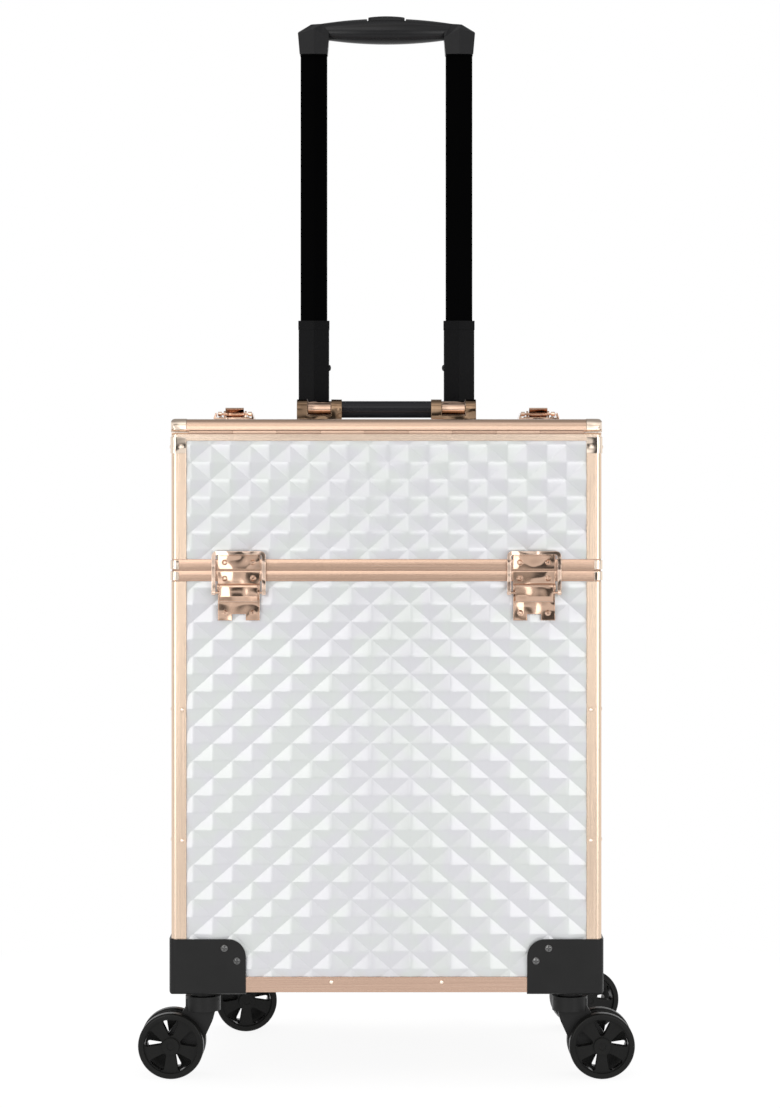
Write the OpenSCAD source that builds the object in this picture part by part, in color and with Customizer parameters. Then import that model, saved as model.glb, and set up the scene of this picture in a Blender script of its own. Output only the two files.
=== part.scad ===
// Rolling makeup case: a wheeled lower bin, an upper case that lifts off it, two lid halves,
// six draw latches, a folding carry handle, a two-stage pull handle and four twin-wheel casters.

/* [Case] */
// Width over the frame
case_w = 340; // [320:1:380]
// Depth over the frame
case_d = 250; // [235:1:290]
// Height of the lower bin, underside to split
lower_h = 333; // [325:1:380]
// Height of the upper case, split to lid top
upper_h = 119.5; // [110:0.5:150]
// Height of the lower bin above the floor
ground_gap = 70; // [69:0.5:80]

/* [Frame] */
// Thickness of the frame flanges
flange_t = 3.2; // [3:0.1:4]
// Width of the frame flanges beside the panels
edge_w = 12; // [11:0.5:15]
// Radius of the upright outer edges
corner_r = 4; // [2:0.5:5]
// Height of each half of the split band
rim_h = 8.5; // [8:0.5:13]
// Height of the rim rails under the lid
top_rim_h = 6.5; // [6:0.5:12]
// Height of the bottom rails
foot_h = 12; // [10:0.5:16]
// Thickness of the webs that cap the boards
web_t = 3; // [2.5:0.1:4]
// Bulge of the split band
crown = 0.5; // [0.2:0.1:0.8]
// Height of the lid frames
lid_h = 10.2; // [9.8:0.1:13]
// Radius of the rounded lid edge
nose_r = 8; // [6:0.5:9]
// Radius of the rounded lid edge at the sides
side_r = 3; // [2:0.5:5]
// Gap along every parting line
seam = 0.3; // [0.3:0.05:0.5]

/* [Panels] */
// Thickness of the lined boards
board_t = 5; // [4:0.1:5.4]
// Thickness of the embossed skins in the valleys
skin_t = 1; // [0.6:0.1:1.1]
// Height of the embossed diamonds
relief_h = 2; // [1:0.1:2.1]
// Width of one emboss cell
cell_w = 15.6; // [12:0.2:20]
// Height of one emboss cell
cell_h = 13.7; // [11:0.1:18]
// Height of the dividers in the upper case
divider_h = 62; // [40:1:80]

/* [Lid hinges] */
// Radius of the hinge knuckles
knuckle_r = 1.6; // [1.5:0.05:1.7]
// Radius of the hinge pins
hinge_pin_r = 1; // [0.8:0.05:1.1]
// Depth of the hinge axis behind the outer face
hinge_in = 1.2; // [1.1:0.05:1.4]
// Radial play of every turning pin
play = 0.05; // [0.03:0.01:0.08]

/* [Latches] */
// Inset of the front and rear latches from the case sides
latch_in = 53.5; // [40:0.5:70]
// Inset of the lid latches from the case sides
top_latch_in = 45.5; // [30:0.5:60]
// Half width of the front and rear latch plates
latch_half = 16.5; // [14:0.5:19]
// Half width of the levers' plates on the lid latches
top_latch_half = 9; // [6:0.2:9.6]
// Half width of the lid latches over their skirts
top_latch_skirt = 16.4; // [15.2:0.2:18]
// Thickness of the latch plates
plate_t = 1.5; // [1.2:0.1:1.8]
// Distance of the lever pivot from the face
pivot_out = 4.5; // [4.4:0.1:5]
// Distance of the lever pivot below the split
pivot_down = 13; // [12.5:0.5:16]
// Distance of the loop pins below the lever pivot
loop_arm = 4.5; // [4.4:0.1:5.2]
// Length of the latch base plates
latch_len = 38.5; // [36:0.5:44]

/* [Carry handle] */
// Distance of the handle mounts from the middle
mount_x = 55.6; // [50:0.5:70]
// Width of each handle mount
mount_w = 37.2; // [34:0.5:42]
// Width of the handle links between the lobes of the mounts
link_w = 18.8; // [14:0.2:19]
// Height of the handle mounts above the lid
mount_h = 16.8; // [16:0.1:20]
// Distance of the bar behind the handle hinge
bar_back = 23.4; // [23:0.2:30]
// Depth of the bar
bar_d = 16; // [12:0.5:18]
// Height of the bar
bar_h = 14; // [10:0.5:14]

/* [Pull handle] */
// Distance of the tubes from the middle
tube_x = 63.2; // [50:0.5:75]
// Distance of the tube axes behind the case
tube_back = 22; // [20:0.5:26]
// Width of the inner tubes
inner_w = 23.1; // [20:0.1:24]
// Depth of the inner tubes
inner_d = 13.2; // [11:0.1:14]
// Wall of the tubes
tube_wall = 1.3; // [1:0.1:1.6]
// Sliding gap between tube and tube
slide_gap = 0.35; // [0.3:0.05:0.5]
// Extra side room in the outer tubes for the snap buttons
snap_room = 2.1; // [2:0.1:3]
// Length each stage draws out
stage = 215; // [150:1:230]
// Top of the outer tubes above the floor
outer_top = 384; // [360:1:390]
// Width of the grip
grip_w = 154; // [144:1:170]
// Depth of the grip
grip_d = 26; // [22:0.5:32]

/* [Casters] */
// Inset of the swivel axes from the case sides
swivel_in = 23.5; // [23:0.5:28]
// Radius of the wheels
wheel_r = 26; // [22:0.5:27]
// Width of one wheel
wheel_t = 10.9; // [9:0.1:13]
// Thickness of the fork blade
fork_t = 13; // [10:0.5:16]
// Distance of the axle behind the swivel axis
trail = 24.5; // [20:0.5:28]
// Radius of the axle
axle_r = 3; // [2.5:0.1:4]
// Radius of the swivel stem
stem_r = 4; // [3:0.1:5]
// Thickness of the corner brackets
bracket_t = 1.6; // [1.2:0.1:2]
// Length of the corner brackets along each face
bracket_l = 59; // [54:1:66]
// Height of the corner brackets on each face
bracket_h = 42; // [36:1:50]
// Resting direction of the front left caster
swivel_fl = 179; // [160:1:200]
// Resting direction of the front right caster
swivel_fr = 1; // [-20:1:20]
// Resting direction of the rear left caster
swivel_rl = 8; // [-20:1:20]
// Resting direction of the rear right caster
swivel_rr = 14; // [-20:1:20]

/* [Hidden] */
$fn = 48;
gap = 0.1;
seat = 0.02;
rivet_r = 1.9;
rivet_h = 0.9;
screw_r = 3.2;
screw_h = 1.3;
clip_t = 0.8;
half_w = case_w / 2;
half_d = case_d / 2;
z_split = ground_gap + lower_h;
z_top = z_split + upper_h;
z_lid = z_top - lid_h;
z_rim = z_lid - seam;
z_hinge = z_rim + seam / 2;
z_base = z_split + seam;
inside_u = flange_t + board_t;
lip_t = 1.5;
rim_depth = inside_u + lip_t;
tongue_t = 1.5;
tongue_h = 4;
tongue_u = flange_t + (board_t - tongue_t) / 2;
groove_room = 0.3;
base_web = tongue_h + 2;
ledge_u = inside_u + 5.8;
lid_gap = 0.4;
lid_depth = half_d - lid_gap;
lid_wall = 3.4;
lid_sole = lid_h - flange_t - board_t;
cap_s = edge_w;
cap_proud = 0.4;
hinge_len = case_w - 2 * cap_s - 4;
hinge_parts = 9;
hinge_span = hinge_len / hinge_parts - 0.4;
leaf_t = 1;
relief_r = knuckle_r + 0.3;
loop_t = 3;
latch_x = half_w - latch_in;
top_latch_x = half_w - top_latch_in;
bar_gap = 0.3;
mount_pin_r = 2.5;
mount_r = mount_h / 2 - 0.6;
mount_base = 3.2;
link_r = mount_pin_r + 2.1;
bar_end = link_w + 1;
mount_pin_y = mount_r + 1;
mount_pin_z = z_top + mount_h - mount_r;
mid_w = inner_w + 2 * (slide_gap + tube_wall);
mid_d = inner_d + 2 * (slide_gap + tube_wall) - 0.1;
outer_w = mid_w + 2 * (slide_gap + snap_room + tube_wall);
outer_d = mid_d + 2 * (slide_gap + tube_wall);
tube_y = half_d + tube_back;
tube_ridge = 2;
mount_foot = 5;
mount_low = ground_gap + 18;
mount_high = outer_top - 28;
collar_h = 8;
mid_top = outer_top + stage + collar_h + 2;
inner_top = mid_top + stage + 12;
overlap = 54;
grip_top = inner_top + 36.6;
axle_z = wheel_r;
bracket_base = ground_gap - bracket_t;
hub_top = bracket_base - 4.4;
hub_r = 14;
hub_bottom = 2 * wheel_r + 0.5;
wheel_gap = fork_t / 2 + 0.6;
stem_x = half_w - swivel_in - 0.5;
stem_y = half_d - swivel_in + 0.5;
front_reach = half_d + pivot_out + 5.1;
rear_reach = tube_y + grip_d / 2;
case_y = (front_reach - rear_reach) / 2;

module gold() color([0.84, 0.66, 0.56]) children();
module white() color([0.92, 0.93, 0.94]) children();
module black() color([0.12, 0.12, 0.13]) children();
module lining() color([0.2, 0.2, 0.22]) children();

// Flat shape helpers

module rounded_rect(w, h, r) {
    square([w - 2 * r, h], center = true);
    square([w, h - 2 * r], center = true);
    for (sx = [-1, 1], sy = [-1, 1])
        translate([sx * (w / 2 - r), sy * (h / 2 - r)]) circle(r);
}

// A square with its corner at the origin rounded
module corner_square(s, r) intersection() {
    square(s);
    union() {
        translate([r, 0]) square([s, s]);
        translate([0, r]) square([s, s]);
        translate([r, r]) circle(r);
    }
}

// Points along an arc
function arc(c, r, from, to, n) =
    [for (k = [0:n]) let (a = from + (to - from) * k / n) c + r * [cos(a), sin(a)]];

// Direction of the outward normal of an edge
function heading(p, q) = atan2(q[1] - p[1], q[0] - p[0]) - 90;

// An outline drawn round its corner points at the distance r
function outline_round(pts, r, n) = let (m = len(pts)) [for (i = [0:m - 1])
    let (a = heading(pts[(i + m - 1) % m], pts[i]), b = heading(pts[i], pts[(i + 1) % m]))
    each arc(pts[i], r, a, a + (b - a + 720) % 360, n)];

// Placing helpers: local x runs along the wall, y goes inward from its outer face, z is up

module on_front_rear(w = case_w, d = case_d)
    for (a = [0, 180]) rotate([0, 0, a]) translate([0, -d / 2, 0]) children();

module on_sides(w = case_w, d = case_d)
    for (a = [-90, 90]) rotate([0, 0, a]) translate([0, -w / 2, 0]) children();

module on_corners()
    for (a = [0, 1], b = [0, 1])
        mirror([a, 0, 0]) mirror([0, b, 0]) translate([-half_w, -half_d, 0]) children();

// A rail along x from a section drawn inward and upward, cut at 45 degrees at both ends
module mitred_rail(length, depth, z0, h) {
    intersection() {
        translate([0, 0, z0]) rotate([90, 0, 90]) linear_extrude(length, center = true) children();
        translate([0, 0, z0 - 20]) linear_extrude(h + 40)
            polygon([[-length / 2 + gap, 0], [length / 2 - gap, 0],
                     [length / 2 - depth - gap, depth], [depth + gap - length / 2, depth]]);
    }
}

// Four mitred rails round the case with rounded upright edges
module rail_ring(depth, z0, h) {
    intersection() {
        union() {
            on_front_rear() mitred_rail(case_w, depth, z0, h) children();
            on_sides() mitred_rail(case_d, depth, z0, h) children();
        }
        translate([0, 0, z0 - 20]) linear_extrude(h + 40) rounded_rect(case_w, case_d, corner_r);
    }
}

// A flange section with a bulged outer face
module crowned(t, h) {
    r = (h * h / 4 + crown * crown) / (2 * crown);
    intersection() {
        square([t, h]);
        translate([r, h / 2]) circle(r, $fn = 96);
    }
}

// An upright corner post section
module post_section() {
    difference() {
        corner_square(edge_w, corner_r);
        translate([flange_t, flange_t]) square(edge_w);
    }
}

// A domed rivet head standing on the plane y = 0 and pointing to -y
module rivet(r, h) {
    s = (r * r + h * h) / (2 * h);
    rotate([90, 0, 0]) intersection() {
        translate([0, 0, h - s]) sphere(s);
        cylinder(r = r, h = h);
    }
}

// A hollow rivet
module eyelet(r, h) difference() {
    rivet(r, h);
    translate([0, -h * 0.3, 0]) rotate([90, 0, 0]) cylinder(r = r * 0.42, h = h);
}

// A domed screw head with a cross recess
module screw_head(r, h) difference() {
    rivet(r, h);
    for (a = [0, 90]) rotate([0, a, 0]) translate([-r * 0.62, -h - 1, -r * 0.13])
        cube([r * 1.24, h * 0.7 + 1, r * 0.26]);
}

// An embossed sheet in x and y with diamonds rising toward +z
module embossed(w, h) {
    nx = round(w / cell_w);
    ny = round(h / cell_h);
    n = (nx + 1) * (ny + 1);
    function at(i, j) = j * (nx + 1) + i;
    points = concat(
        [for (j = [0:ny], i = [0:nx])
            [w * (i / nx - 0.5), h * j / ny, skin_t + ((i + j) % 2 == 0 ? relief_h : 0)]],
        [[-w / 2, 0, 0], [w / 2, 0, 0], [w / 2, h, 0], [-w / 2, h, 0]]);
    cells = [for (j = [0:ny - 1], i = [0:nx - 1]) each
        (i + j) % 2 == 0
            ? [[at(i, j), at(i, j + 1), at(i + 1, j)], [at(i + 1, j + 1), at(i + 1, j), at(i, j + 1)]]
            : [[at(i, j), at(i, j + 1), at(i + 1, j + 1)], [at(i, j), at(i + 1, j + 1), at(i + 1, j)]]];
    edges = [
        concat([n], [for (i = [0:nx]) at(i, 0)], [n + 1]),
        concat([n + 2], [for (i = [nx:-1:0]) at(i, ny)], [n + 3]),
        concat([n + 3], [for (j = [ny:-1:0]) at(0, j)], [n]),
        concat([n + 1], [for (j = [0:ny]) at(nx, j)], [n + 2]),
        [n, n + 1, n + 2, n + 3]];
    polyhedron(points, concat(cells, edges), convexity = 10);
}

// Embossed sheets on all four walls between two heights
module wall_skins(z0, z1) {
    module sheet(length) translate([0, flange_t, z0 + gap]) rotate([90, 0, 0])
        embossed(length - 2 * edge_w - 2 * gap, z1 - z0 - 2 * gap);
    on_front_rear() sheet(case_w);
    on_sides() sheet(case_d);
}

// Boards behind all four walls
module wall_boards(z0, z1) {
    on_front_rear() translate([flange_t - half_w, flange_t, z0])
        cube([case_w - 2 * flange_t, board_t, z1 - z0]);
    on_sides() translate([inside_u + gap - half_d, flange_t, z0])
        cube([case_d - 2 * (inside_u + gap), board_t, z1 - z0]);
}

module floor_board(z) {
    translate([inside_u + gap - half_w, inside_u + gap - half_d, z])
        cube([case_w - 2 * (inside_u + gap), case_d - 2 * (inside_u + gap), board_t]);
}

// Corner clips that wrap an upright edge
module clip(leg, t, z0, h)
    translate([0, 0, z0]) linear_extrude(h) difference() {
        translate([-t, -t]) corner_square(leg + t, corner_r + t);
        translate([-seat, -seat]) corner_square(leg + 2, corner_r);
    }

// Lower bin

module lower_walls() lining() {
    wall_boards(ground_gap + flange_t, z_split - web_t);
    floor_board(ground_gap + flange_t);
}

module lower_skins() white() wall_skins(ground_gap + foot_h, z_split - rim_h);

module lower_bottom_rails() gold() rail_ring(ledge_u, ground_gap, foot_h) {
    square([flange_t, foot_h]);
    square([ledge_u, flange_t]);
}

module lower_posts() gold() on_corners()
    translate([0, 0, ground_gap + foot_h + gap])
        linear_extrude(lower_h - foot_h - rim_h - 2 * gap) post_section();

module lower_rim_rails() gold() rail_ring(rim_depth, z_split - rim_h, rim_h) {
    crowned(flange_t, rim_h);
    translate([crown, rim_h - web_t]) square([rim_depth - crown, web_t]);
    translate([inside_u, 0]) square([lip_t, rim_h]);
    translate([tongue_u, rim_h - 1]) square([tongue_t, tongue_h + 1]);
}

module lower_rivets() gold() {
    on_corners() for (z = [0.36, 0.67]) {
        translate([0.72 * edge_w, 0, ground_gap + z * lower_h]) rivet(rivet_r, rivet_h);
        translate([0, 0.72 * edge_w, ground_gap + z * lower_h]) rotate([0, 0, -90]) rivet(rivet_r, rivet_h);
    }
    on_front_rear() for (s = [-1, 1])
        translate([s * 0.128 * case_w, 0, ground_gap + foot_h * 2 / 3]) rivet(rivet_r, rivet_h);
    on_corners() clip(edge_w / 2, clip_t, z_split - rim_h + clip_t, rim_h - 2 * clip_t);
}

// Corner brackets and casters

// Outline of a bracket plate on one face, from the corner outward and upward
module bracket_face() {
    r = 14;
    translate([-10, 0]) square([bracket_l + 10 - r, bracket_h + bracket_t]);
    square([bracket_l, bracket_h + bracket_t - r]);
    translate([bracket_l - r, bracket_h + bracket_t - r]) circle(r);
}

// Outline of a bracket from above
module bracket_plan() translate([-bracket_t, -bracket_t])
    corner_square(bracket_l + bracket_t, corner_r + bracket_t);

// A quarter plane with its corner rounded
module toe(r = 3) {
    translate([r, 0]) square(case_w);
    translate([0, r]) square(case_w);
    translate([r, r]) circle(r);
}

module caster_brackets() black() on_corners() difference() {
    intersection() {
        union() {
            intersection() {
                translate([0, 0, bracket_base]) linear_extrude(bracket_h + bracket_t) bracket_plan();
                union() {
                    translate([0, 20, bracket_base]) rotate([90, 0, 0]) linear_extrude(40) bracket_face();
                    translate([20, 0, bracket_base]) mirror([1, -1, 0]) mirror([0, 1, 0])
                        translate([0, 40, 0]) rotate([90, 0, 0]) linear_extrude(40) bracket_face();
                }
            }
            translate([0, 0, bracket_base]) linear_extrude(bracket_t) bracket_plan();
            translate([half_w - stem_x, half_d - stem_y, bracket_base])
                cylinder(r = 9, h = bracket_t + flange_t - gap);
        }
        translate([-bracket_t, case_d, bracket_base]) rotate([90, 0, 0]) linear_extrude(2 * case_d) toe();
        translate([-case_w, -bracket_t, bracket_base]) rotate([90, 0, 90]) linear_extrude(2 * case_w) toe();
    }
    translate([0, 0, ground_gap]) linear_extrude(ground_gap) difference() {
        corner_square(case_w, corner_r);
        translate([half_w - stem_x, half_d - stem_y]) circle(9);
    }
    translate([0, 0, ground_gap + flange_t]) cube([case_w, case_d, case_w]);
    translate([half_w - stem_x, half_d - stem_y, 0]) cylinder(r = stem_r + play, h = case_w);
}

module bracket_screws() black() {
    on_corners() for (p = [[bracket_l - 17, bracket_h - 7], [bracket_l - 7, bracket_h - 17]]) {
        translate([p[0], -bracket_t, ground_gap + p[1]]) screw_head(screw_r, screw_h);
        translate([-bracket_t, p[0], ground_gap + p[1]]) rotate([0, 0, -90]) screw_head(screw_r, screw_h);
    }
    on_tubes() for (z = [mount_low, mount_high], s = [-1, 1])
        translate([s * (outer_w / 2 + 8), half_d + mount_foot + seat, z + 8])
            rotate([0, 0, 180]) screw_head(screw_r, screw_h);
}

module at_casters()
    for (sx = [-1, 1], sy = [-1, 1]) translate([sx * stem_x, sy * stem_y, 0]) children();

module caster_stems() black() at_casters() {
    translate([0, 0, hub_bottom + 3]) cylinder(r = stem_r, h = ground_gap + flange_t - hub_bottom - 3 - gap);
    translate([0, 0, hub_top + 0.4]) cylinder(r = 10, h = bracket_base - hub_top - 0.4);
}

// A fork on the swivel axis that trails toward +x
module fork() black() difference() {
    union() {
        translate([0, 0, hub_bottom]) cylinder(r = hub_r, h = hub_top - hub_bottom);
        rotate([90, 0, 0]) linear_extrude(fork_t, center = true) {
            polygon([[-hub_r + 1, hub_top - 2], [-11.4, hub_bottom + 6], [-7.6, axle_z + 18],
                     [-0.5, axle_z + 2.5], [4, axle_z - 3], [trail - 2, axle_z - 8], [trail + 8, axle_z + 1],
                     [trail - 4, axle_z + 18], [hub_r - 1, hub_bottom + 4], [hub_r - 1, hub_top - 2]]);
            translate([trail, axle_z]) circle(8.2);
        }
    }
    translate([0, 0, hub_bottom + 2]) cylinder(r = stem_r + play, h = hub_top);
    translate([trail, 0, axle_z]) rotate([90, 0, 0])
        cylinder(r = axle_r + play, h = 3 * fork_t, center = true);
}

// One wheel about the z axis, its outer face toward +z
module wheel() {
    shoulder = 2;
    difference() {
        rotate_extrude($fn = 96) polygon(concat([[axle_r + play, 0]],
            arc([wheel_r - shoulder, shoulder], shoulder, -90, 0, 5),
            arc([wheel_r - shoulder, wheel_t - shoulder], shoulder, 0, 90, 5),
            [[wheel_r - 4.4, wheel_t], [wheel_r - 4.4, wheel_t - 2.4], [6.6, wheel_t - 2.4],
            [6.6, wheel_t], [axle_r + play, wheel_t]]));
        for (i = [0:4]) rotate([0, 0, 72 * i + 18]) translate([0, 0, -1]) linear_extrude(wheel_t + 2)
            polygon(outline_round([[9.9, 0], [wheel_r - 7.8, -4.2], [wheel_r - 7.8, 4.2]], 2.2, 4));
    }
}

// Two wheels on a common axle behind the swivel axis, rolled on by an angle; the windows of one stand
// behind the spokes of the other
module wheel_pair(roll = 0) black() translate([trail, 0, axle_z]) {
    for (a = [0, 1]) mirror([0, a, 0]) translate([0, -wheel_gap, 0]) rotate([90, 0, 0])
        rotate([0, 0, roll + 36 * a]) wheel();
    rotate([90, 0, 0]) cylinder(r = axle_r, h = 2 * (wheel_gap + wheel_t) - 1, center = true);
}

module place_caster(sx, sy, a) translate([sx * stem_x, sy * stem_y, 0]) rotate([0, 0, a]) children();

module fork_front_left() place_caster(-1, -1, swivel_fl) fork();
module fork_front_right() place_caster(1, -1, swivel_fr) fork();
module fork_rear_left() place_caster(-1, 1, swivel_rl) fork();
module fork_rear_right() place_caster(1, 1, swivel_rr) fork();
module wheels_front_left() place_caster(-1, -1, swivel_fl) wheel_pair(36);
module wheels_front_right() place_caster(1, -1, swivel_fr) wheel_pair();
module wheels_rear_left() place_caster(-1, 1, swivel_rl) wheel_pair();
module wheels_rear_right() place_caster(1, 1, swivel_rr) wheel_pair();

// Pull handle

module on_tubes() for (s = [-1, 1]) mirror([s > 0 ? 0 : 1, 0, 0]) translate([tube_x, 0, 0]) children();

// A tube section with a ridge down the front and back
module tube_section(w, d)
    polygon([[-w / 2, tube_ridge - d / 2], [0, -d / 2], [w / 2, tube_ridge - d / 2],
             [w / 2, d / 2 - tube_ridge], [0, d / 2], [-w / 2, d / 2 - tube_ridge]]);

module tube(w, d, z0, z1) on_tubes() translate([0, tube_y, z0]) linear_extrude(z1 - z0) difference() {
    tube_section(w, d);
    tube_section(w - 2 * tube_wall, d - 2 * tube_wall);
}

module handle_outer_tubes() black() tube(outer_w, outer_d, mount_low + 4, outer_top);

module handle_rear_mounts() black() on_tubes() for (z = [mount_low, mount_high]) difference() {
    union() {
        translate([-outer_w / 2 - 4, half_d + gap, z])
            cube([outer_w + 8, tube_back + outer_d / 2 + 3 - gap, z == mount_high ? 29.5 : 24]);
        translate([-outer_w / 2 - 12, half_d + gap, z]) cube([outer_w + 24, mount_foot - gap, 16]);
    }
    translate([0, tube_y, z == mount_high ? z - 1 : z + 4]) linear_extrude(z == mount_high ? 29 + gap : 40)
        tube_section(outer_w + 2 * gap, outer_d + 2 * gap);
    translate([0, tube_y, z + 6]) linear_extrude(40) {
        tube_section(mid_w + 2 * slide_gap, mid_d + 2 * slide_gap);
        translate([-mid_w / 2 - snap_room, -4]) square([snap_room + 2, 8]);
    }
}

module handle_mid_tubes() black() {
    tube(mid_w, mid_d, outer_top - overlap, mid_top - collar_h);
    on_tubes() translate([0, tube_y, mid_top - collar_h + gap]) linear_extrude(collar_h - gap) difference() {
        tube_section(mid_w + 0.6, mid_d + 0.4);
        tube_section(inner_w + 2 * slide_gap, inner_d + 2 * slide_gap);
    }
    on_tubes() translate([-mid_w / 2 - gap, tube_y, mid_top - 41]) rotate([0, -90, 0]) snap_button();
}

module snap_button() intersection() {
    cylinder(r = 2.6, h = 1.6);
    translate([0, 0, -2.6]) sphere(4.2);
}

module handle_inner_tubes() black() tube(inner_w, inner_d, mid_top - overlap, inner_top + 18);

// Front outline of the grip in x and z about the grip top
module grip_outline() {
    top_r = (grip_w * grip_w / 4 + 13 * 13) / 26;
    intersection() {
        translate([0, -top_r]) circle(top_r, $fn = 180);
        translate([0, 286 - 24]) circle(286, $fn = 180);
        translate([1 - grip_w / 2, -40]) square([grip_w - 2, 60]);
    }
    socket = [[tube_x - inner_w / 2 - 1.4, -36.4], [tube_x + inner_w / 2 + 1.2, -36.4],
        [grip_w / 2, -28], [grip_w / 2, -12.9], [tube_x - inner_w / 2 - 7, -11],
        [tube_x - inner_w / 2 - 7, -20], [tube_x - inner_w / 2 - 3, -27]];
    polygon(socket);
    polygon([for (i = [len(socket) - 1:-1:0]) [-socket[i][0], socket[i][1]]]);
}

module handle_grip() black() difference() {
    intersection() {
        translate([0, tube_y, grip_top]) rotate([90, 0, 0])
            linear_extrude(grip_d, center = true) grip_outline();
        translate([0, tube_y, grip_top - 20]) rotate([90, 0, 90])
            linear_extrude(grip_w + 2, center = true) rounded_rect(grip_d, 41, 9);
    }
    on_tubes() translate([0, tube_y, inner_top - 5]) linear_extrude(23 + gap)
        tube_section(inner_w + 2 * gap, inner_d + 2 * gap);
    translate([0, tube_y, grip_top - 9]) linear_extrude(20) rounded_rect(33, 13, 3);
}

module handle_button() black() translate([0, tube_y, grip_top - 5]) intersection() {
    linear_extrude(20) rounded_rect(33 - 4 * seam, 13 - 4 * seam, 2.6);
    translate([0, 0, 6.4 - 120]) rotate([90, 0, 0]) cylinder(r = 120, h = 40, center = true, $fn = 180);
}

// Upper case

module upper_walls() lining() {
    wall_boards(z_base + base_web, z_rim - web_t);
    floor_board(z_base + base_web);
}

module upper_skins() white() wall_skins(z_base + rim_h, z_rim - top_rim_h);

module upper_base_rails() gold() rail_ring(ledge_u, z_base, rim_h) difference() {
    union() {
        crowned(flange_t, rim_h);
        translate([crown, 0]) square([ledge_u - crown, base_web]);
    }
    translate([tongue_u - groove_room, -1])
        square([tongue_t + 2 * groove_room, tongue_h - seam + groove_room + 1]);
}

module upper_posts() gold() on_corners() translate([0, 0, z_base + rim_h + gap])
    linear_extrude(z_rim - z_base - rim_h - top_rim_h - 2 * gap) post_section();

// Space for the turning edge of a lid along a hinge axis
module hinge_relief(r) translate([0, hinge_in - half_d, z_hinge]) rotate([0, 90, 0])
    cylinder(r = r, h = case_w + 10, center = true);

module upper_rim_rails() gold() difference() {
    rail_ring(rim_depth, z_rim - top_rim_h, top_rim_h) {
        square([flange_t, top_rim_h]);
        translate([0, top_rim_h - web_t]) square([rim_depth, web_t]);
        translate([inside_u, 0]) square([lip_t, top_rim_h]);
    }
    for (a = [0, 180]) rotate([0, 0, a]) {
        hinge_relief(relief_r);
        translate([-hinge_len / 2 - gap, -half_d - 1, z_rim - leaf_t])
            cube([hinge_len + 2 * gap, rim_depth + 2, 5]);
    }
}

module upper_clips() gold() on_corners() {
    clip(edge_w, clip_t, z_rim - 16.5, 13);
    clip(edge_w / 2, clip_t, z_base + clip_t, rim_h - 2 * clip_t);
    translate([0.68 * edge_w, -clip_t, z_rim - 11.5]) rivet(rivet_r, rivet_h);
    translate([-clip_t, 0.68 * edge_w, z_rim - 11.5]) rotate([0, 0, -90]) rivet(rivet_r, rivet_h);
}

module dividers() lining() {
    t = 4;
    z = z_base + base_web + board_t;
    room_x = half_w - inside_u - lip_t - 0.5;
    room_y = half_d - inside_u - lip_t - 0.5;
    translate([-room_x, -t / 2, z]) cube([2 * room_x, t, divider_h]);
    for (sx = [-1, 1], sy = [-1, 1])
        translate([sx * room_x / 3 - t / 2, sy > 0 ? t / 2 + gap : -room_y, z])
            cube([t, room_y - t / 2 - gap, divider_h - 8]);
}

// Lid halves, drawn as the front one

module hinge_spans(first)
    for (i = [first:2:hinge_parts - 1])
        translate([-hinge_len / 2 + hinge_len / hinge_parts * i + 0.2, hinge_in - half_d, z_hinge])
            rotate([0, 90, 0]) children();

module lid_hinge_leaf() difference() {
    union() {
        difference() {
            translate([-hinge_len / 2, hinge_in - half_d, z_rim - leaf_t])
                cube([hinge_len, rim_depth - hinge_in, leaf_t]);
            hinge_spans(1) translate([0, 0, -0.4]) cylinder(r = relief_r, h = hinge_span + 0.8);
        }
        hinge_spans(0) cylinder(r = knuckle_r, h = hinge_span);
    }
    hinge_relief(hinge_pin_r + play);
}

module lid_hinge_leaves() gold() for (a = [0, 180]) rotate([0, 0, a]) lid_hinge_leaf();

module lid_hinge_pins() gold() for (a = [0, 180]) rotate([0, 0, a])
    translate([0, hinge_in - half_d, z_hinge]) rotate([0, 90, 0])
        cylinder(r = hinge_pin_r, h = hinge_len, center = true);

// A lid rail section with a slot for the board; the outer edge is rounded or square
module lid_section(r) difference() {
    nosed(edge_w, lid_h, r);
    translate([lid_wall, lid_sole]) square([edge_w, board_t]);
}

module at_lid() translate([0, -(half_d + lid_gap) / 2, 0]) children();

module lid_frame() gold() difference() {
    union() {
        difference() {
            at_lid() {
                translate([0, -lid_depth / 2, 0])
                    mitred_rail(case_w, edge_w, z_lid, lid_h) lid_section(nose_r);
                rotate([0, 0, 180]) translate([0, -lid_depth / 2, 0])
                    mitred_rail(case_w, edge_w, z_lid, lid_h) lid_section(0.6);
                on_sides() mitred_rail(lid_depth, edge_w, z_lid, lid_h) lid_section(side_r);
            }
            for (s = [-1, 1]) translate([s * half_w, -half_d, 0])
                cube([2 * cap_s, 2 * cap_s, 3 * z_top], center = true);
            hinge_relief(relief_r);
        }
        hinge_spans(1) {
            cylinder(r = knuckle_r, h = hinge_span);
            translate([-lid_sole - seam / 2, 0, 0]) cube([lid_sole - seam / 2, lid_wall, hinge_span]);
        }
    }
    hinge_relief(hinge_pin_r + play);
}

module lid_board() lining() difference() {
    at_lid() translate([0, 0, z_lid + lid_sole + board_t / 2])
        cube([case_w - 2 * (lid_wall + gap), lid_depth - 2 * (lid_wall + gap), board_t - 2 * seat],
            center = true);
    for (s = [-1, 1]) translate([s * half_w, -half_d, 0])
        cube([2 * cap_s + 2 * gap, 2 * cap_s + 2 * gap, 3 * z_top], center = true);
}

module lid_skin() white() at_lid() translate([0, -lid_depth / 2 + edge_w + gap, z_lid + lid_sole + board_t])
    embossed(case_w - 2 * edge_w - 2 * gap, lid_depth - 2 * edge_w - 2 * gap);

// A rectangle in the first quadrant with its upper left corner rounded
module nosed(w, h, r) intersection() {
    square([w, h]);
    union() {
        translate([r, 0]) square([w, h]);
        square([w, h - r]);
        translate([r, h - r]) circle(r);
    }
}

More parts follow.
